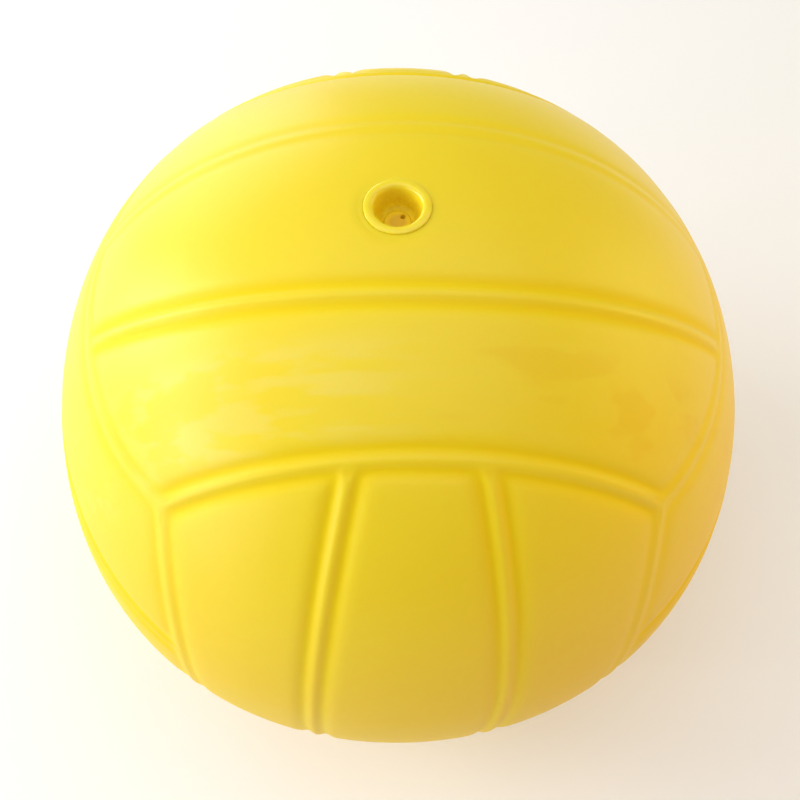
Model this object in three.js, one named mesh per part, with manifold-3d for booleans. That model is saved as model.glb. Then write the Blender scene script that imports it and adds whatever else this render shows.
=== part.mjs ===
// A small inflatable mini volleyball in soft vinyl: a one-piece moulded skin with a panel pattern of
// double grooves, and a needle valve made of a soft housing and a self-sealing rubber plug.
// Millimetres, +Z up along the valve, origin at the ball's centre.
import * as THREE from "three";
import { mergeVertices } from "three/addons/utils/BufferGeometryUtils.js";
import Module from "manifold-3d";

const wasm = await Module();
wasm.setup();

// ---- Driving dimensions ----
const BALL_R = 45; // mean radius of the inflated ball
const WALL = 1.5; // thickness of the skin between the seams
const CUBE_BULGE = 0.038; // how far the ball fills out towards the corners of its panel groups
const REST_R = 3; // radius of the small flat where the soft ball rests
const CLEARANCE = 0.3; // gap between neighbouring pieces

// Panel pattern: six groups of three strips, one group on each side of a cube.
const BORDER_OFFSET = BALL_R / Math.sqrt(3); // plane of a group's border, from the centre
const STRIP_ANGLE = THREE.MathUtils.degToRad(14.3); // seam between two strips, from the group's middle
const VALVE_FORWARD = 1.27; // the valve sits this far forward of its strip's middle
const VALVE_LEFT = 2.01; // and this far to the left of it

// Seam: a rounded bead between two grooves.
const SEAM_HALF = 1.9; // from the bead's middle to the panel's edge
const GROOVE_AT = 1.15; // from the bead's middle to the bottom of a groove
const GROOVE_DEPTH = 0.4;
const BEAD_DROP = 0.03; // crest of the bead below the panels

// Valve. Its depths are measured down from the top of the ball on the valve's axis.
const MOUTH_R = 2.4; // mouth of the recess
const MOUTH_DROP = 0.3; // where the lip has rounded over into the recess wall
const LIP_R = 3.0; // crest of the rounded lip
const LIP_RISE = 0.05;
const COLLAR_R = 3.45; // outside of the lip, where it meets the skin
const COLLAR_DROP = 0.4; // where the lip has rounded over into the collar's side
const LIP_SHOULDER = 0.15; // how far in from the lip's sides it starts to round over
const RECESS_DEPTH = 2.65;
const RECESS_FLOOR_R = 2.2;
const FLOOR_THICK = 0.8;
const SEAT_R = 1.7; // opening in the recess floor, where the plug shows
const FLANGE_R = 6; // flange that holds the housing to the inside of the skin
const FLANGE_THICK = 0.9;
const COLLAR_SETBACK = 0.2; // the skin has fallen away this far at the collar
const FLANGE_TAPER = 0.4; // its top face falls away like the skin above it
const FLANGE_FILLET = 0.5;
const HOUSING_R = 4.3;
const HOUSING_DEPTH = 9.5;
const HOUSING_CHAMFER = 0.5;
const CHAMBER_R = 3.2;
const CHAMBER_DEPTH = 8.7;
const PASSAGE_R = 1.0; // opening at the housing's inner end
const NEEDLE_R = 0.3;
const NEEDLE_DEPTH = 2.5;
const NEEDLE_RIGHT = 0.55; // the needle hole is off the plug's middle
const NEEDLE_BACK = 0.7;
const HOLE_CHAMFER = 0.65; // the skin's edge round the collar
const HOLE_CHAMFER_DEPTH = 0.45;
const HOLE_CHAMFER_DROP = 0.1;
const OVERCUT = 4; // how far a cut runs past the face that it opens

// How finely the curved surfaces are divided.
const PANEL_STEPS = 4; // across each strip
const LINING_SIDES = 28;
const VALVE_SIDES = 32;
const NEEDLE_SIDES = 12;

// ---- Solids and booleans ----
function solid(geometry) {
  const bare = geometry.clone();
  bare.deleteAttribute("normal");
  bare.deleteAttribute("uv");
  const merged = mergeVertices(bare, 1e-4);
  return new wasm.Manifold(new wasm.Mesh({
    numProp: 3,
    vertProperties: new Float32Array(merged.attributes.position.array),
    triVerts: new Uint32Array(merged.index.array),
  }));
}

function geometryOf(manifold) {
  const mesh = manifold.getMesh();
  const geometry = new THREE.BufferGeometry();
  geometry.setAttribute("position", new THREE.BufferAttribute(new Float32Array(mesh.vertProperties), 3));
  geometry.setIndex(new THREE.BufferAttribute(new Uint32Array(mesh.triVerts), 1));
  return geometry;
}

// A profile of [radius, depth] points turned about the valve's axis. A depth is measured down from the
// top of the ball. A profile that stays off the axis is closed.
function turned(points, sides = VALVE_SIDES) {
  const onAxis = points[0][0] === 0;
  const outline = onAxis ? points : [...points, points[0]];
  const profile = outline.map(([radius, depth]) => new THREE.Vector2(radius, TOP_Z - depth));
  return new THREE.LatheGeometry(profile, sides).rotateX(Math.PI / 2);
}

// ---- Shape of the inflated ball ----
// The pattern leans so that the valve, on +Z, is off the middle of its strip.
const valveInPattern = new THREE.Vector3(-VALVE_LEFT, -VALVE_FORWARD, BALL_R).normalize();
const patternLean = new THREE.Quaternion().setFromUnitVectors(valveInPattern, new THREE.Vector3(0, 0, 1));
const patternUpright = patternLean.clone().invert();

// The radius in a direction, as a share of the mean radius: fuller at the cube's corners.
function fullness(direction) {
  const d = direction.clone().applyQuaternion(patternUpright);
  const corner = 0.6 - (d.x ** 4 + d.y ** 4 + d.z ** 4);
  return 1 + CUBE_BULGE * corner;
}

// Blows a round shape up to the ball's real shape.
function inflated(geometry) {
  const position = geometry.attributes.position;
  const point = new THREE.Vector3();
  for (let i = 0; i < position.count; i++) {
    point.fromBufferAttribute(position, i);
    point.multiplyScalar(fullness(point.clone().normalize()));
    position.setXYZ(i, point.x, point.y, point.z);
  }
  return geometry;
}

const TOP_Z = BALL_R * fullness(new THREE.Vector3(0, 0, 1));
const BOTTOM_R = BALL_R * fullness(new THREE.Vector3(0, 0, -1));
const REST_Z = -Math.sqrt(BOTTOM_R ** 2 - REST_R ** 2);

// ---- Panel pattern ----
// The skin is a cube's grid blown up to a ball. On each side of the cube the grid runs along and across
// the strips, and its lines are laid on the seams, so that every bead and groove has a line of its own.
const BORDER_LATITUDE = Math.asin(BORDER_OFFSET / BALL_R);

// A line across the strips lies in the plane across * cos(tilt) + out * sin(tilt) = shift.
function borderLine(inward, depth) {
  return { tilt: 0, shift: -Math.sin(BORDER_LATITUDE - inward / BALL_R), depth };
}

function stripLine(side, depth) {
  return { tilt: STRIP_ANGLE, shift: Math.sin(side / BALL_R), depth };
}

function panelLines(from, to) {
  const lines = [];
  for (let step = 1; step < PANEL_STEPS; step++) {
    const share = step / PANEL_STEPS;
    const tilt = THREE.MathUtils.lerp(from.tilt, to.tilt, share);
    const shift = THREE.MathUtils.lerp(from.shift, to.shift, share);
    lines.push({ tilt, shift, depth: 0 });
  }
  return lines;
}

function mirroredLine(line) {
  return { tilt: -line.tilt, shift: -line.shift, depth: line.depth };
}

// All the lines of a group, from one border to the other.
function groupLines() {
  const border = [borderLine(0, BEAD_DROP), borderLine(GROOVE_AT, GROOVE_DEPTH), borderLine(SEAM_HALF, 0)];
  const seam = [
    stripLine(-SEAM_HALF, 0),
    stripLine(-GROOVE_AT, GROOVE_DEPTH),
    stripLine(0, BEAD_DROP),
    stripLine(GROOVE_AT, GROOVE_DEPTH),
    stripLine(SEAM_HALF, 0),
  ];
  const half = [...border, ...panelLines(border[2], seam[0]), ...seam];
  const farHalf = half.map(mirroredLine).reverse();
  return [...half, ...panelLines(seam[4], farHalf[0]), ...farHalf];
}

const LINES = groupLines();
const LAST = LINES.length - 1;
const EDGE_LINE = 2; // the panel's edge beside a border

// Where a line across the strips meets the group's border: its place along that border.
function placeOnBorder({ tilt, shift }) {
  const out = BORDER_OFFSET / BALL_R;
  return (shift - out * Math.sin(tilt)) / Math.cos(tilt);
}

// The turn along a line at which it comes down to a height above the ball's middle.
function turnAtHeight({ tilt, shift }, height) {
  const radius = Math.sqrt(1 - shift ** 2);
  return Math.acos((height - shift * Math.sin(tilt)) / (radius * Math.cos(tilt)));
}

// The turn from the middle of a line to its crossing with the grid line of this number.
function turnAlong(line, number) {
  const fromEnd = Math.min(number, LAST - number);
  const side = number < LAST / 2 ? -1 : 1;
  if (fromEnd <= EDGE_LINE) {
    const inward = [0, GROOVE_AT, SEAM_HALF][fromEnd];
    return side * turnAtHeight(line, Math.sin(BORDER_LATITUDE + inward / BALL_R));
  }
  const borderRadius = Math.cos(BORDER_LATITUDE);
  const here = Math.asin(placeOnBorder(LINES[number]) / borderRadius);
  const edge = Math.asin(placeOnBorder(LINES[LAST - EDGE_LINE]) / borderRadius);
  return (here / edge) * turnAtHeight(line, Math.sin(BORDER_LATITUDE + SEAM_HALF / BALL_R));
}

// The direction and depth of one crossing of the grid, as [along, across, out] the strips.
function crossing(alongNumber, acrossNumber) {
  const line = LINES[acrossNumber];
  const turn = turnAlong(line, alongNumber);
  const radius = Math.sqrt(1 - line.shift ** 2);
  const along = radius * Math.sin(turn);
  const across = line.shift * Math.cos(line.tilt) - radius * Math.cos(turn) * Math.sin(line.tilt);
  const out = line.shift * Math.sin(line.tilt) + radius * Math.cos(turn) * Math.cos(line.tilt);
  const fromEnd = Math.min(alongNumber, LAST - alongNumber);
  const fromBorder = Math.min(acrossNumber, LAST - acrossNumber);
  let depth = line.depth;
  if (fromEnd === 0 || fromBorder === 0) {
    depth = BEAD_DROP;
  } else if (fromEnd === 1 && depth !== BEAD_DROP) {
    depth = GROOVE_DEPTH; // but the bead of a strip's seam runs across it, into the border's bead
  }
  return { local: [along, across, out], depth };
}

// The cube's grid, laid on the seams and pressed in along them. The strips run along X on the cube's
// top and bottom, along Z on its front and back and along Y on its left and right.
function patternedBall() {
  const cube = new THREE.BoxGeometry(2, 2, 2, LAST, LAST, LAST);
  const position = cube.attributes.position;
  const point = new THREE.Vector3();
  for (let i = 0; i < position.count; i++) {
    point.fromBufferAttribute(position, i);
    const out = [0, 1, 2].find((axis) => Math.abs(point.getComponent(axis)) > 0.9999);
    const along = (out + 1) % 3;
    const across = (out + 2) % 3;
    const number = (axis) => Math.round((point.getComponent(axis) + 1) / 2 * LAST);
    const { local, depth } = crossing(number(along), number(across));
    const side = Math.sign(point.getComponent(out));
    point.setComponent(along, local[0]);
    point.setComponent(across, local[1]);
    point.setComponent(out, side * local[2]);
    point.multiplyScalar(BALL_R - depth);
    position.setXYZ(i, point.x, point.y, point.z);
  }
  return cube.applyQuaternion(patternLean);
}

// ---- The pieces ----
function ballShell() {
  let skin = solid(inflated(patternedBall()));
  const lining = new THREE.SphereGeometry(BALL_R - WALL, LINING_SIDES, LINING_SIDES / 2);
  skin = skin.subtract(solid(inflated(lining.rotateX(Math.PI / 2))));
  const holeR = COLLAR_R + CLEARANCE;
  const hole = turned([
    [0, WALL + OVERCUT],
    [holeR, WALL + OVERCUT],
    [holeR, HOLE_CHAMFER_DROP + HOLE_CHAMFER_DEPTH],
    [holeR + HOLE_CHAMFER, HOLE_CHAMFER_DROP],
    [holeR + HOLE_CHAMFER, -OVERCUT],
    [0, -OVERCUT],
  ]);
  skin = skin.subtract(solid(hole));
  const groundSide = 4 * REST_R;
  const ground = new THREE.BoxGeometry(groundSide, groundSide, OVERCUT);
  ground.translate(0, 0, REST_Z - OVERCUT / 2);
  return geometryOf(skin.subtract(solid(ground)));
}

function valveHousing() {
  const flangeTop = WALL + CLEARANCE + COLLAR_SETBACK;
  const flangeRim = flangeTop + FLANGE_TAPER;
  const floorUnderside = RECESS_DEPTH + FLOOR_THICK;
  return turned([
    [SEAT_R, RECESS_DEPTH],
    [SEAT_R, floorUnderside],
    [CHAMBER_R, floorUnderside],
    [CHAMBER_R, CHAMBER_DEPTH],
    [PASSAGE_R, CHAMBER_DEPTH],
    [PASSAGE_R, HOUSING_DEPTH],
    [HOUSING_R - HOUSING_CHAMFER, HOUSING_DEPTH],
    [HOUSING_R, HOUSING_DEPTH - HOUSING_CHAMFER],
    [HOUSING_R, flangeRim + FLANGE_THICK + FLANGE_FILLET],
    [FLANGE_R, flangeRim + FLANGE_THICK],
    [FLANGE_R, flangeRim],
    [COLLAR_R, flangeTop],
    [COLLAR_R, COLLAR_DROP],
    [COLLAR_R - LIP_SHOULDER, LIP_SHOULDER],
    [LIP_R, -LIP_RISE],
    [MOUTH_R + LIP_SHOULDER, 0],
    [MOUTH_R, MOUTH_DROP],
    [RECESS_FLOOR_R, RECESS_DEPTH],
  ]);
}

function valvePlug() {
  const bodyR = CHAMBER_R - CLEARANCE;
  const bodyTop = RECESS_DEPTH + FLOOR_THICK + CLEARANCE;
  const bodyBottom = CHAMBER_DEPTH - CLEARANCE;
  const noseR = SEAT_R - CLEARANCE;
  const plug = turned([
    [0, bodyBottom],
    [bodyR, bodyBottom],
    [bodyR, bodyTop],
    [noseR, bodyTop],
    [noseR, RECESS_DEPTH],
    [0, RECESS_DEPTH],
  ]);
  const needleHole = turned([
    [0, RECESS_DEPTH + NEEDLE_DEPTH],
    [NEEDLE_R, RECESS_DEPTH + NEEDLE_DEPTH],
    [NEEDLE_R, 0],
    [0, 0],
  ], NEEDLE_SIDES);
  needleHole.translate(NEEDLE_RIGHT, NEEDLE_BACK, 0);
  return geometryOf(solid(plug).subtract(solid(needleHole)));
}

// ---- The assembly ----
const yellowVinyl = { color: 0xf5dc33, roughness: 0.42, metalness: 0 };
const housingVinyl = { color: 0xf3d52a, roughness: 0.38, metalness: 0 };
const tanRubber = { color: 0xc98f4e, roughness: 0.7, metalness: 0 };

const ball = new THREE.Group();

function addPiece(name, geometry, finish) {
  const mesh = new THREE.Mesh(geometry, new THREE.MeshStandardMaterial(finish));
  mesh.name = name;
  ball.add(mesh);
}

addPiece("ball_shell", ballShell(), yellowVinyl);
addPiece("valve_housing", valveHousing(), housingVinyl);
addPiece("valve_plug", valvePlug(), tanRubber);

export default ball;
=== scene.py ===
import math

import bmesh
import bpy
from mathutils import Matrix, Vector


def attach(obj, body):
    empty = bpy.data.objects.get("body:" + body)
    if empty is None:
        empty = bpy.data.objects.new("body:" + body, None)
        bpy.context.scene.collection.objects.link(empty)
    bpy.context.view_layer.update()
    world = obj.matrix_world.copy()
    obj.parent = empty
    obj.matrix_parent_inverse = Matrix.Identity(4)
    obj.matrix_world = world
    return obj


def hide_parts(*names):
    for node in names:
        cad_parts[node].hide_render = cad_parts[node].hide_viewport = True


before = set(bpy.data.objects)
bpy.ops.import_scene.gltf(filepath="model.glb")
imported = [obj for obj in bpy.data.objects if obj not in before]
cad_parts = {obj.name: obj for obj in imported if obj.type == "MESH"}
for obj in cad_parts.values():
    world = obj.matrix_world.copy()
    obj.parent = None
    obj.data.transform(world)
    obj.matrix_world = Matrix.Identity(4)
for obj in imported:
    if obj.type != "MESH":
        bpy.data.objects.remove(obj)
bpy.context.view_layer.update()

MM = 0.001

# ---- Dimensions, in millimetres ----
BALL_R = 45.0  # mean radius of the inflated ball
WALL = 1.5
CUBE_BULGE = 0.038  # how far the ball fills out towards the corners of its panel groups
REST_R = 3.0  # radius of the flat on which the soft ball rests
STRIP_ANGLE = math.radians(14.3)  # seam between two strips, from the group's middle
BORDER_LATITUDE = math.asin(1 / math.sqrt(3))
VALVE_FORWARD = 1.27  # the valve is off the middle of its strip
VALVE_LEFT = 2.01

# The seam: a rounded bead between two soft grooves.
GROOVE_AT = 1.15
GROOVE_DEPTH = 0.32
SHOULDER = 0.55  # how softly the panel rolls over into the groove
CORNER_ROUNDING = 0.9  # how far a panel's corners are rounded
SADDLE = 0.45  # how deep a border's groove runs over the end of a strip's bead
SIDE_BORDER_DEPTH = 0.5  # the borders of the left and right groups are shallower than the other seams
REAR_STRIP_DEPTH = 0.35  # and so is the seam behind the valve

# Grid lines beside each seam, and across each strip between two seams.
SEAM_STEPS = [0.2, 0.4, 0.6, 0.85, 1.1, 1.35, 1.65, 2.05, 2.6]
PANEL_STEPS = 21

# The opening for the valve. Its rolled edge is [radius, depth below the skin's surface] from the outside in.
OPENING_R = 4.4  # where the skin's grid ends and its rolled edge begins
OPENING_BLEND = 8  # grid rings over which the grid turns from square to round
SQUARE_SHARE = 0.886  # half side of the square with about the circle's area, over its radius
OPENING_EDGE = [
    (4.15, 0.0), (3.95, 0.005), (3.8, 0.02), (3.68, 0.03), (3.6, 0.045), (3.54, 0.06), (3.51, 0.09),
    (3.5, 0.2), (3.5, 1.2),
]

VALVE_SIDES = 96


# ---- Shape of the ball ----
valve_in_pattern = Vector((-VALVE_LEFT, -VALVE_FORWARD, BALL_R)).normalized()
pattern_lean = valve_in_pattern.rotation_difference(Vector((0, 0, 1)))
pattern_upright = pattern_lean.inverted()


def fullness(direction):
    """The ball's radius in a direction, as a share of its mean radius."""
    d = pattern_upright @ direction
    return 1 + CUBE_BULGE * (0.6 - (d.x**4 + d.y**4 + d.z**4))


TOP = BALL_R * fullness(Vector((0, 0, 1)))
REST_Z = -math.sqrt((BALL_R * fullness(Vector((0, 0, -1)))) ** 2 - REST_R**2)


# ---- Panel pattern ----
# Six groups of three strips, one on each side of a cube. The skin is a cube's grid blown up to a ball,
# and its lines are laid along the seams. A line lies in across * cos(tilt) + out * sin(tilt) = shift.
def border_line(inward):
    return 0.0, -math.sin(BORDER_LATITUDE - inward / BALL_R)


def strip_line(side):
    return STRIP_ANGLE, math.sin(side / BALL_R)


def panel_lines(start, end):
    shares = [step / PANEL_STEPS for step in range(1, PANEL_STEPS)]
    return [tuple(a + (b - a) * share for a, b in zip(start, end)) for share in shares]


def group_lines():
    """All the lines of a group, from one border to the other."""
    border = [border_line(inward) for inward in [0.0] + SEAM_STEPS]
    sides = [-step for step in reversed(SEAM_STEPS)] + [0.0] + SEAM_STEPS
    seam = [strip_line(side) for side in sides]
    half = border + panel_lines(border[-1], seam[0]) + seam
    far_half = [(-tilt, -shift) for tilt, shift in reversed(half)]
    return half + panel_lines(seam[-1], far_half[0]) + far_half


LINES = group_lines()
LAST = len(LINES) - 1
EDGE_LINE = len(SEAM_STEPS)


def place_on_border(line):
    tilt, shift = line
    return (shift - math.sin(BORDER_LATITUDE) * math.sin(tilt)) / math.cos(tilt)


def turn_at_height(line, inward):
    """The turn along a line at which it comes within this distance of the group's end border."""
    tilt, shift = line
    height = math.sin(BORDER_LATITUDE + inward / BALL_R)
    return math.acos((height - shift * math.sin(tilt)) / (math.sqrt(1 - shift**2) * math.cos(tilt)))


BORDER_RADIUS = math.cos(BORDER_LATITUDE)
EDGE_TURN = math.asin(place_on_border(LINES[LAST - EDGE_LINE]) / BORDER_RADIUS)


def turn_along(line, number):
    from_end = min(number, LAST - number)
    if from_end < EDGE_LINE:
        inward = ([0.0] + SEAM_STEPS)[from_end]
        return math.copysign(turn_at_height(line, inward), number - LAST / 2)
    here = math.asin(place_on_border(LINES[number]) / BORDER_RADIUS)
    return here / EDGE_TURN * turn_at_height(line, SEAM_STEPS[-1])


def grid_numbers(co):
    """Which side of the cube a grid point is on, and its line numbers along and across the strips."""
    out = next(axis for axis in range(3) if abs(co[axis]) > 0.9999)
    along, across = (out + 1) % 3, (out + 2) % 3
    number = [round((value + 1) / 2 * LAST) for value in co]
    return out, along, across, number[along], number[across]


def grid_direction(co):
    """The direction, in the pattern, of a point of the cube's grid."""
    out, along, across, along_number, across_number = grid_numbers(co)
    tilt, shift = LINES[across_number]
    turn = turn_along((tilt, shift), along_number)
    radius = math.sqrt(1 - shift**2)
    direction = Vector((0, 0, 0))
    direction[along] = radius * math.sin(turn)
    direction[across] = shift * math.cos(tilt) - radius * math.cos(turn) * math.sin(tilt)
    lift = shift * math.sin(tilt) + radius * math.cos(turn) * math.cos(tilt)
    direction[out] = math.copysign(lift, co[out])
    return direction.normalized()


def groove(distance):
    """Depth of the seam's section at a distance from the bead's middle."""
    if distance <= 0:
        return 0.0
    if distance < GROOVE_AT:
        return GROOVE_DEPTH * (1 - math.cos(math.pi * distance / GROOVE_AT)) / 2
    return GROOVE_DEPTH * math.exp(-(((distance - GROOVE_AT) / SHOULDER) ** 2) / 2)


def soft_min(a, b):
    overlap = max(CORNER_ROUNDING - abs(a - b), 0) / CORNER_ROUNDING
    return min(a, b) - overlap**2 * CORNER_ROUNDING / 4


def seam_depth(direction):
    """How far a point of the skin is pressed in along the seams."""
    d = pattern_upright @ direction
    parts = [abs(value) for value in d]
    for out in range(3):
        across = parts[(out + 2) % 3]
        if parts[out] >= math.sin(BORDER_LATITUDE) and across <= math.sin(BORDER_LATITUDE):
            break
    side_border = BALL_R * (BORDER_LATITUDE - math.asin(across))
    end_border = BALL_R * (math.asin(min(parts[out], 1)) - BORDER_LATITUDE)
    strip = BALL_R * abs(math.asin(across * math.cos(STRIP_ANGLE) - parts[out] * math.sin(STRIP_ANGLE)))
    seams = [
        (side_border, 1 if out == 2 else SIDE_BORDER_DEPTH),
        (end_border, 1 if out == 1 else SIDE_BORDER_DEPTH),
        (strip, REAR_STRIP_DEPTH if out == 2 and d.z > 0 and d.y > 0 else 1),
    ]
    nearness = [math.exp(-((distance / GROOVE_AT) ** 2)) + 1e-9 for distance, _ in seams]
    strength = sum(near * depth for near, (_, depth) in zip(nearness, seams)) / sum(nearness)
    nearest = soft_min(soft_min(side_border, end_border), strip)
    return strength * max(groove(nearest), SADDLE * groove(end_border))


# ---- Making pieces ----
def finished(bm, name, nodes, material):
    """Makes a piece from a bmesh in millimetres, and hangs it on the frame."""
    bmesh.ops.recalc_face_normals(bm, faces=bm.faces[:])
    bmesh.ops.scale(bm, vec=Vector((MM, MM, MM)), verts=bm.verts[:])
    for face in bm.faces:
        face.smooth = True
    mesh = bpy.data.meshes.new(name)
    bm.to_mesh(mesh)
    bm.free()
    mesh.materials.append(material)
    piece = bpy.data.objects.new(name, mesh)
    bpy.context.collection.objects.link(piece)
    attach(piece, "root")
    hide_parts(*nodes)
    return piece


def rim_edges(bm):
    return [edge for edge in bm.edges if edge.is_boundary]


def valve_block(bm):
    """The line numbers of the square of grid that makes way for the valve: its middle and half side."""
    half_side = OPENING_R * SQUARE_SHARE
    inside = []
    for vert in bm.verts:
        if vert.co.z > 0.9999:
            place = (pattern_lean @ grid_direction(vert.co)) * BALL_R
            if max(abs(place.x), abs(place.y)) < half_side:
                inside.append(grid_numbers(vert.co)[3:])
    low = [min(numbers[axis] for numbers in inside) for axis in range(2)]
    high = [max(numbers[axis] for numbers in inside) for axis in range(2)]
    return [(a + b) / 2 for a, b in zip(low, high)], [(b - a) / 2 for a, b in zip(low, high)]


def rounded_place(direction, numbers, middle, half):
    """Moves a direction near the valve, so that the grid's square rings turn round."""
    a, b = [(number - centre) / side for number, centre, side in zip(numbers, middle, half)]
    ring = max(abs(a), abs(b))
    share = (ring - 1) * min(half) / OPENING_BLEND
    if ring < 0.99 or share >= 1:
        return direction
    if abs(a) >= abs(b):
        angle = math.pi / 4 * b / a + (math.pi if a < 0 else 0)
    else:
        angle = math.pi / 2 - math.pi / 4 * a / b + (math.pi if b < 0 else 0)
    round_to = Vector((math.cos(angle), math.sin(angle))) * OPENING_R * ring / BALL_R
    weight = 1 - share**2 * (3 - 2 * share)
    flat = direction.xy.lerp(round_to, weight)
    return Vector((flat.x, flat.y, math.sqrt(1 - flat.length_squared)))


def lay_grid_on_seams(bm):
    """Blows the cube's grid up to the ball, opens it round the valve and presses the seams in."""
    pressed = bm.verts.layers.float.new("pressed")
    middle, half = valve_block(bm)
    inner = []
    places = []
    for vert in bm.verts:
        direction = pattern_lean @ grid_direction(vert.co)
        if vert.co.z > 0.9999:
            numbers = grid_numbers(vert.co)[3:]
            direction = rounded_place(direction, numbers, middle, half)
            if all(abs(n - c) < side - 0.25 for n, c, side in zip(numbers, middle, half)):
                inner.append(vert)
        places.append((vert, direction))
    for vert, direction in places:
        depth = seam_depth(direction)
        vert[pressed] = depth / GROOVE_DEPTH
        vert.co = direction * (BALL_R * fullness(direction) - depth)
        vert.co.z = max(vert.co.z, REST_Z)
    bmesh.ops.delete(bm, geom=inner, context="VERTS")


def roll_edge_in(bm):
    """Rolls the opening's edge over and takes it down to the inside of the skin."""
    edges = rim_edges(bm)
    count = len(edges)
    for radius, depth in OPENING_EDGE:
        made = bmesh.ops.extrude_edge_only(bm, edges=edges)["geom"]
        edges = [item for item in made if isinstance(item, bmesh.types.BMEdge) and item.is_boundary]
        for vert in {vert for edge in edges for vert in edge.verts}:
            angle = math.atan2(vert.co.y, vert.co.x)
            fallen = (OPENING_R**2 - radius**2) / (2 * BALL_R)
            top = TOP - OPENING_R**2 / (2 * BALL_R) + fallen
            vert.co = Vector((radius * math.cos(angle), radius * math.sin(angle), top - depth))
    return count


def ball_skin(material):
    """The one-piece moulded skin: its outside, the rolled edge round the valve and its lining."""
    bm = bmesh.new()
    bmesh.ops.create_cube(bm, size=2)
    bmesh.ops.subdivide_edges(bm, edges=bm.edges[:], cuts=LAST - 1, use_grid_fill=True)
    lay_grid_on_seams(bm)
    sides = roll_edge_in(bm)
    lining = bmesh.ops.create_uvsphere(bm, u_segments=sides, v_segments=32, radius=1)["verts"]
    for vert in lining:
        direction = vert.co.normalized()
        vert.co = direction * (BALL_R - WALL) * fullness(direction)
    bmesh.ops.delete(bm, geom=[max(lining, key=lambda vert: vert.co.z)], context="VERTS")
    bmesh.ops.bridge_loops(bm, edges=rim_edges(bm))
    return finished(bm, "ball_skin", ["ball_shell"], material)


# ---- Materials ----
class Value:
    """A shader number, with the arithmetic that the finishes use."""

    def __init__(self, finish, socket):
        self.finish = finish
        self.socket = socket

    def maths(self, operation, first, second):
        return self.finish.node("ShaderNodeMath", {0: first, 1: second}, operation=operation)

    def __add__(self, other):
        return self.maths("ADD", self, other)

    def __radd__(self, other):
        return self.maths("ADD", other, self)

    def __sub__(self, other):
        return self.maths("SUBTRACT", self, other)

    def __rsub__(self, other):
        return self.maths("SUBTRACT", other, self)

    def __mul__(self, other):
        return self.maths("MULTIPLY", self, other)

    def __rmul__(self, other):
        return self.maths("MULTIPLY", other, self)


class Finish:
    """A material whose nodes are made one by one."""

    def __init__(self, name):
        self.material = bpy.data.materials.new(name)
        self.material.use_nodes = True
        self.tree = self.material.node_tree
        self.tree.nodes.clear()

    def node(self, kind, sockets=None, output=0, stops=None, **settings):
        """Makes a node with its settings, then its sockets' values or links, and gives one output."""
        made = self.tree.nodes.new(kind)
        for name, value in settings.items():
            setattr(made, name, value)
        if stops:
            ramp = made.color_ramp
            while len(ramp.elements) < len(stops):
                ramp.elements.new(0.5)
            for element, (place, grey) in zip(ramp.elements, stops):
                element.position = place
                element.color = (grey, grey, grey, 1)
        for name, value in (sockets or {}).items():
            if isinstance(value, Value):
                self.tree.links.new(value.socket, made.inputs[name])
            else:
                made.inputs[name].default_value = value
        return Value(self, made.outputs[output]) if made.outputs else None

    def place(self, scale=(1, 1, 1), rotation=(0, 0, 0)):
        """Coordinates on the piece, stretched and turned."""
        coordinates = self.node("ShaderNodeTexCoord", output="Object")
        return self.node("ShaderNodeMapping", {"Vector": coordinates, "Scale": scale, "Rotation": rotation})

    def noise(self, size_mm, detail=2.0, scale=(1, 1, 1), rotation=(0, 0, 0)):
        """A noise whose blotches are about this wide."""
        vector = self.place(scale, rotation)
        sockets = {"Vector": vector, "Scale": 1 / (size_mm * MM), "Detail": detail}
        return self.node("ShaderNodeTexNoise", sockets)

    def along(self, axis):
        """How far a point lies along an axis of the piece."""
        return self.node("ShaderNodeSeparateXYZ", {"Vector": self.place()}, output=axis)

    def fade(self, place, start_mm, end_mm, interpolation="SMOOTHSTEP"):
        """Rises from 0 to 1 between two places along an axis."""
        sockets = {"Value": place, "From Min": start_mm * MM, "From Max": end_mm * MM}
        return self.node("ShaderNodeMapRange", sockets, interpolation_type=interpolation)

    def ramp(self, value, *stops):
        return self.node("ShaderNodeValToRGB", {"Fac": value}, stops=stops)

    def mix(self, share, first, second):
        sockets = {"Factor": share, 6: first, 7: second}
        return self.node("ShaderNodeMix", sockets, output=2, data_type="RGBA")

    def bump(self, height, depth_mm, strength=1.0, normal=None):
        sockets = {"Height": height, "Distance": depth_mm * MM, "Strength": strength}
        if normal:
            sockets["Normal"] = normal
        return self.node("ShaderNodeBump", sockets)

    def surface(self, sockets):
        shader = self.node("ShaderNodeBsdfPrincipled", sockets)
        self.node("ShaderNodeOutputMaterial", {"Surface": shader})
        return self.material


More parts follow.
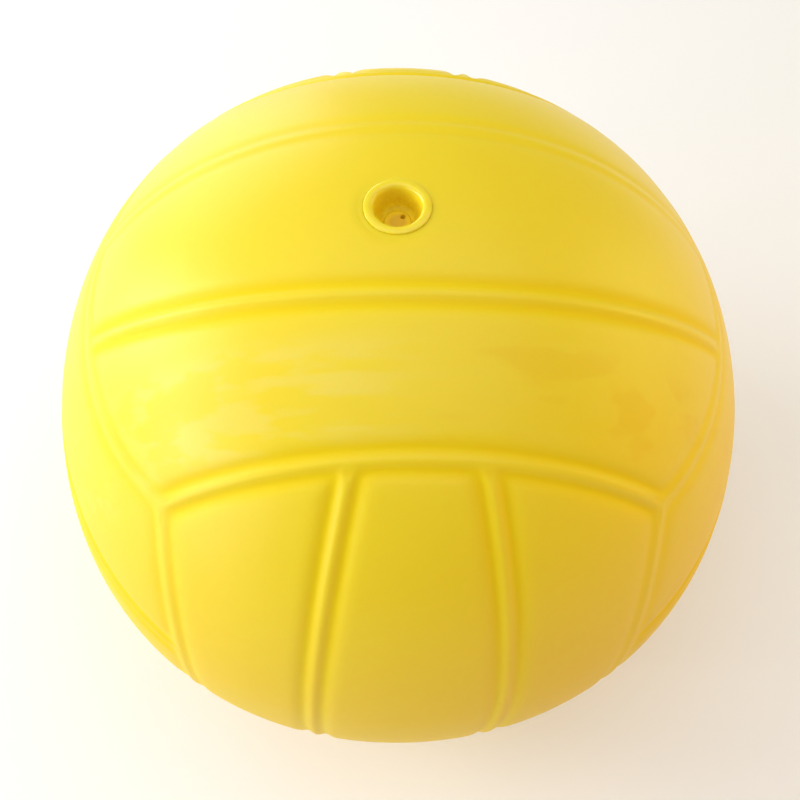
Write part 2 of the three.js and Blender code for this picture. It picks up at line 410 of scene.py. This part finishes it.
def soft_yellow_vinyl():
    """Satin soft vinyl: glossier high up, smeared below the valve, matt in the grooves, with painted shade
    that makes it a deeper gold low on the ball and in the grooves.
    """
    finish = Finish("soft_yellow_vinyl")
    pressed = finish.node("ShaderNodeAttribute", output="Fac", attribute_name="pressed")
    side, front, height = [finish.along(axis) for axis in range(3)]
    high = finish.fade(height, 5, 38)
    strip = finish.fade(front, -25.5, -22) * (1 - finish.fade(front, -15.5, -12.5))
    strip = strip * finish.fade(height, 15, 25)
    streak = finish.ramp(finish.noise(2.4, detail=3, scale=(0.16, 1, 1)), (0.46, 0), (0.58, 1))
    patch = finish.ramp(finish.noise(20, scale=(0.7, 1, 1)), (0.36, 0), (0.52, 1))
    smear = streak * patch * strip * (1 - 0.85 * finish.fade(side, -8, 6))
    slanted = finish.noise(4, scale=(0.16, 1, 1), rotation=(0, 0, 0.4))
    rubbed = finish.ramp(slanted, (0.52, 0), (0.60, 1)) * strip * finish.fade(side, -10, 6)
    cloud = finish.noise(18)
    grain = finish.noise(0.25)
    peel = finish.noise(1.8, detail=1)
    body = finish.mix(cloud, (0.91, 0.715, 0.020, 1), (0.88, 0.675, 0.012, 1))
    # Painted shade: the base colour turns a deeper gold low on the ball, standing in for the shade that
    # falls there.
    body = finish.mix(0.6 - 0.6 * high, body, (0.84, 0.52, 0.004, 1))
    body = finish.mix(smear * 0.5, body, (0.89, 0.735, 0.130, 1))
    body = finish.mix(rubbed * 0.5, body, (0.86, 0.600, 0.004, 1))
    body = finish.mix(grain * 0.12, body, (0.80, 0.560, 0.010, 1))
    # Painted shade: the grooves are painted a deeper, more saturated gold, standing in for the shade and
    # interreflection in the creases.
    body = finish.mix(pressed * 0.8, body, (0.89, 0.650, 0.003, 1))
    return finish.surface({
        "Base Color": body,
        "Roughness": 0.42 + 0.10 * cloud - 0.08 * smear,
        "Coat Weight": (1 - pressed) * (0.08 + 0.62 * high),
        "Coat Roughness": 0.36,
        "Coat IOR": 1.45,
        "Normal": finish.bump(peel * 0.6 + grain * 0.4, 0.014),
        "Specular IOR Level": 0.12,
        "Subsurface Weight": 0.25,
        "Subsurface Radius": (1.0, 0.55, 0.08),
        "Subsurface Scale": 0.0015,
    })


def glossy_valve_vinyl():
    """The valve cup's vinyl: polished on the lip and finely grained in the recess, with painted shade that
    darkens the recess towards its floor.
    """
    finish = Finish("glossy_valve_vinyl")
    deep = finish.fade(finish.along(2), TOP - 0.3, TOP - 2.9, "LINEAR")
    grain = finish.noise(0.3, detail=3)
    body = finish.mix(grain, (0.92, 0.74, 0.030, 1), (0.90, 0.70, 0.020, 1))
    speckle = finish.ramp(finish.noise(0.35, detail=3), (0.45, 0), (0.6, 1))
    # Painted shade: the recess turns a darker gold the deeper it goes, over a fine speckle of the vinyl's
    # own grain.
    speckled_recess_shade = finish.mix(speckle, (0.88, 0.62, 0.001, 1), (0.80, 0.52, 0.001, 1))
    body = finish.mix(deep, body, speckled_recess_shade)
    return finish.surface({
        "Base Color": body,
        "Roughness": 0.30 + 0.25 * deep + 0.08 * grain,
        "Specular IOR Level": 0.15,
        "Normal": finish.bump(grain * (0.1 + 0.9 * deep), 0.03),
        "Coat Weight": 0.8 - 0.8 * deep,
        "Coat Roughness": 0.07,
        "Coat IOR": 1.5,
        "Subsurface Weight": 0.3,
        "Subsurface Radius": (1.0, 0.6, 0.05),
        "Subsurface Scale": 0.0012,
    })


def tan_plug_rubber():
    """Matt gum rubber, tan round the needle hole and yellowed at its edge."""
    finish = Finish("tan_plug_rubber")
    flat_place = finish.place((1, 1, 0))
    from_middle = finish.node("ShaderNodeVectorMath", {0: flat_place}, output=1, operation="LENGTH")
    edge = finish.fade(from_middle, 0.6, 1.15)
    mottle = finish.noise(0.5, detail=4)
    grain = finish.noise(0.12, detail=2)
    body = finish.mix(mottle, (0.80, 0.52, 0.025, 1), (0.68, 0.40, 0.012, 1))
    body = finish.mix(edge, body, (0.87, 0.60, 0.002, 1))
    return finish.surface({
        "Base Color": body,
        "Roughness": 0.62 + 0.2 * grain,
        "Normal": finish.bump(grain, 0.02),
    })


def pale_floor_paint():
    finish = Finish("pale_floor_paint")
    mottle = finish.noise(60, detail=3)
    body = finish.mix(mottle, (0.945, 0.957, 0.98, 1), (0.93, 0.943, 0.965, 1))
    return finish.surface({"Base Color": body, "Roughness": 0.6 + 0.1 * mottle})


# ---- The valve ----
def ring_profile(bm, points):
    """A closed profile of [radius, depth below the top] in the XZ plane."""
    verts = [bm.verts.new((radius, 0, TOP - depth)) for radius, depth in points]
    for here, there in zip(verts, verts[1:] + verts[:1]):
        bm.edges.new((here, there))


# The cup's corners, as [radius, depth, rounding], from the plug's seat round the outside to the collar.
CUP_CORNERS = [
    (1.42, 2.64, 0.02),
    (1.42, 3.45, 0.05),
    (3.2, 3.45, 0.10),
    (3.2, 8.7, 0.20),
    (1.0, 8.7, 0.05),
    (1.0, 9.5, 0.10),
    (3.8, 9.5, 0.0),
    (4.3, 9.0, 0.0),
    (4.3, 3.2, 0.4),
    (6.0, 3.0, 0.30),
    (6.0, 2.4, 0.25),
    (3.48, 1.95, 0.10),
]
BEVEL_STEPS = 5

# The rounded lip and the recess, as [radius, depth], from the collar over the lip to the recess floor.
LIP_AND_RECESS = [
    (3.48, 0.05), (3.44, 0.02), (3.36, -0.01), (3.24, -0.035), (3.10, -0.055), (2.98, -0.06), (2.86, -0.05),
    (2.74, -0.02), (2.63, 0.05), (2.54, 0.15), (2.46, 0.30), (2.41, 0.50), (2.37, 0.75), (2.33, 1.10),
    (2.28, 1.50), (2.21, 1.90), (2.11, 2.20), (1.97, 2.43), (1.75, 2.57), (1.58, 2.63),
]


def valve_cup(material):
    """The soft cup set in the skin: rounded lip, recess, inner flange and plug chamber."""
    bm = bmesh.new()
    ring_profile(bm, [corner[:2] for corner in CUP_CORNERS] + LIP_AND_RECESS)
    spin = {"cent": (0, 0, 0), "axis": (0, 0, 1), "angle": 2 * math.pi, "steps": VALVE_SIDES}
    bmesh.ops.spin(bm, geom=bm.verts[:] + bm.edges[:], use_merge=True, use_duplicate=False, **spin)
    for radius, depth, rounding in CUP_CORNERS:
        if rounding:
            edges = [edge for edge in bm.edges if on_ring(edge, radius, TOP - depth)]
            bmesh.ops.bevel(
                bm, geom=edges, offset=rounding, offset_type="OFFSET", affect="EDGES",
                segments=BEVEL_STEPS, profile=0.5, material=-1, clamp_overlap=True,
            )
    return finished(bm, "valve_cup", ["valve_housing"], material)


def on_ring(edge, radius, height):
    return all(
        abs(vert.co.z - height) < 1e-4 and abs(vert.co.xy.length - radius) < 1e-3 for vert in edge.verts
    )


NEEDLE_AT = Vector((0.55, 0.72, 0))
# Rings down the needle hole and out over the plug: radius, depth, share of the needle hole's offset.
NEEDLE_RINGS = [
    (0.17, 5.8, 1.0), (0.20, 4.2, 1.0), (0.22, 2.96, 1.0), (0.25, 2.78, 1.0), (0.30, 2.68, 1.0),
    (0.37, 2.64, 0.93), (0.50, 2.63, 0.79), (0.70, 2.63, 0.575), (0.92, 2.63, 0.34), (1.14, 2.63, 0.11),
    (1.28, 2.635, 0.0), (1.38, 2.64, 0.0), (1.40, 2.66, 0.0), (1.40, 3.75, 0.0), (2.8, 3.75, 0.0),
    (2.9, 3.85, 0.0), (2.9, 8.3, 0.0), (2.8, 8.4, 0.0),
]


def valve_core(material):
    """The self-sealing rubber plug, with the hole that the needle leaves."""
    bm = bmesh.new()
    radius, depth, offset = NEEDLE_RINGS[0]
    place = Matrix.Translation(NEEDLE_AT * offset + Vector((0, 0, TOP - depth)))
    bmesh.ops.create_circle(bm, cap_ends=True, radius=radius, segments=VALVE_SIDES // 2, matrix=place)
    edges = rim_edges(bm)
    for radius, depth, offset in NEEDLE_RINGS[1:]:
        made = bmesh.ops.extrude_edge_only(bm, edges=edges)["geom"]
        verts = [item for item in made if isinstance(item, bmesh.types.BMVert)]
        edges = [item for item in made if isinstance(item, bmesh.types.BMEdge) and item.is_boundary]
        centre = sum((vert.co for vert in verts), Vector()) / len(verts)
        moved = NEEDLE_AT * offset + Vector((0, 0, TOP - depth))
        for vert in verts:
            vert.co = moved + (vert.co - centre).normalized() * radius
    bmesh.ops.contextual_create(bm, geom=edges)
    return finished(bm, "valve_core", ["valve_plug"], material)


# ---- The stage ----
CAMERA_AT = Vector((-1.27, -63.83, 123.70)) * MM
CAMERA_AZIMUTH = math.radians(-1.42)
CAMERA_ELEVATION = math.radians(62.27)
CAMERA_ROLL = math.radians(0.2)
CAMERA_LENS = 44.68


def camera():
    data = bpy.data.cameras.new("camera")
    data.lens = CAMERA_LENS
    data.sensor_width = 36
    data.clip_start = 0.005
    data.dof.use_dof = False
    turn = Matrix.Rotation(CAMERA_AZIMUTH, 4, "Z")
    tip = Matrix.Rotation(math.pi / 2 - CAMERA_ELEVATION, 4, "X")
    roll = Matrix.Rotation(CAMERA_ROLL, 4, "Z")
    seat = bpy.data.objects.new("camera", data)
    seat.matrix_world = Matrix.Translation(CAMERA_AT) @ turn @ tip @ roll
    bpy.context.collection.objects.link(seat)
    bpy.context.scene.camera = seat


# The lamps stand round the ball, as [azimuth from the front, elevation, side in metres, power, colour].
LAMP_DISTANCE = 0.6
WHITE = (1.0, 1.0, 1.0)
LAMPS = {
    "top": (0, 89, 0.8, 2.0, WHITE),
    "left": (-107, 12, 0.26, 1.0, WHITE),
    "left_front": (-60, 12, 0.4, 1.35, WHITE),
    "left_back": (-150, 12, 0.4, 0.9, WHITE),
    "left_high": (-98, 30, 0.3, 1.05, WHITE),
    "left_spot": (-75, 17, 0.04, 0.2, WHITE),
    "right_front": (70, 12, 0.4, 0.65, (1.0, 0.10, 0.02)),
    "right": (105, 20, 0.4, 1.0, (1.0, 0.92, 0.35)),
}
ROOM_STRENGTH = 0.255
FLOOR_HALF_SIDE = 1.5  # metres


def lamps():
    for name, (azimuth, elevation, side, power, colour) in LAMPS.items():
        light = bpy.data.lights.new(name, "AREA")
        light.shape = "SQUARE"
        light.size = side
        light.energy = power
        light.color = colour
        turn = Matrix.Rotation(math.radians(azimuth), 4, "Z")
        tip = Matrix.Rotation(math.radians(90 - elevation), 4, "X")
        seat = bpy.data.objects.new(name, light)
        seat.matrix_world = turn @ tip @ Matrix.Translation((0, 0, LAMP_DISTANCE))
        bpy.context.collection.objects.link(seat)


def room_light():
    world = bpy.data.worlds.new("studio")
    world.use_nodes = True
    background = world.node_tree.nodes["Background"]
    background.inputs["Strength"].default_value = ROOM_STRENGTH
    background.inputs["Color"].default_value = (*WHITE, 1)
    bpy.context.scene.world = world


def floor():
    bm = bmesh.new()
    bmesh.ops.create_grid(bm, x_segments=8, y_segments=8, size=FLOOR_HALF_SIDE)
    bmesh.ops.translate(bm, verts=bm.verts[:], vec=(0, 0, REST_Z * MM))
    mesh = bpy.data.meshes.new("floor")
    bm.to_mesh(mesh)
    bm.free()
    mesh.materials.append(pale_floor_paint())
    ground = bpy.data.objects.new("floor", mesh)
    bpy.context.collection.objects.link(ground)


camera()
floor()
lamps()
room_light()
ball_skin(soft_yellow_vinyl())
valve_cup(glossy_valve_vinyl())
valve_core(tan_plug_rubber())

scene = bpy.context.scene
scene.view_settings.view_transform = "Standard"
scene.view_settings.look = "None"
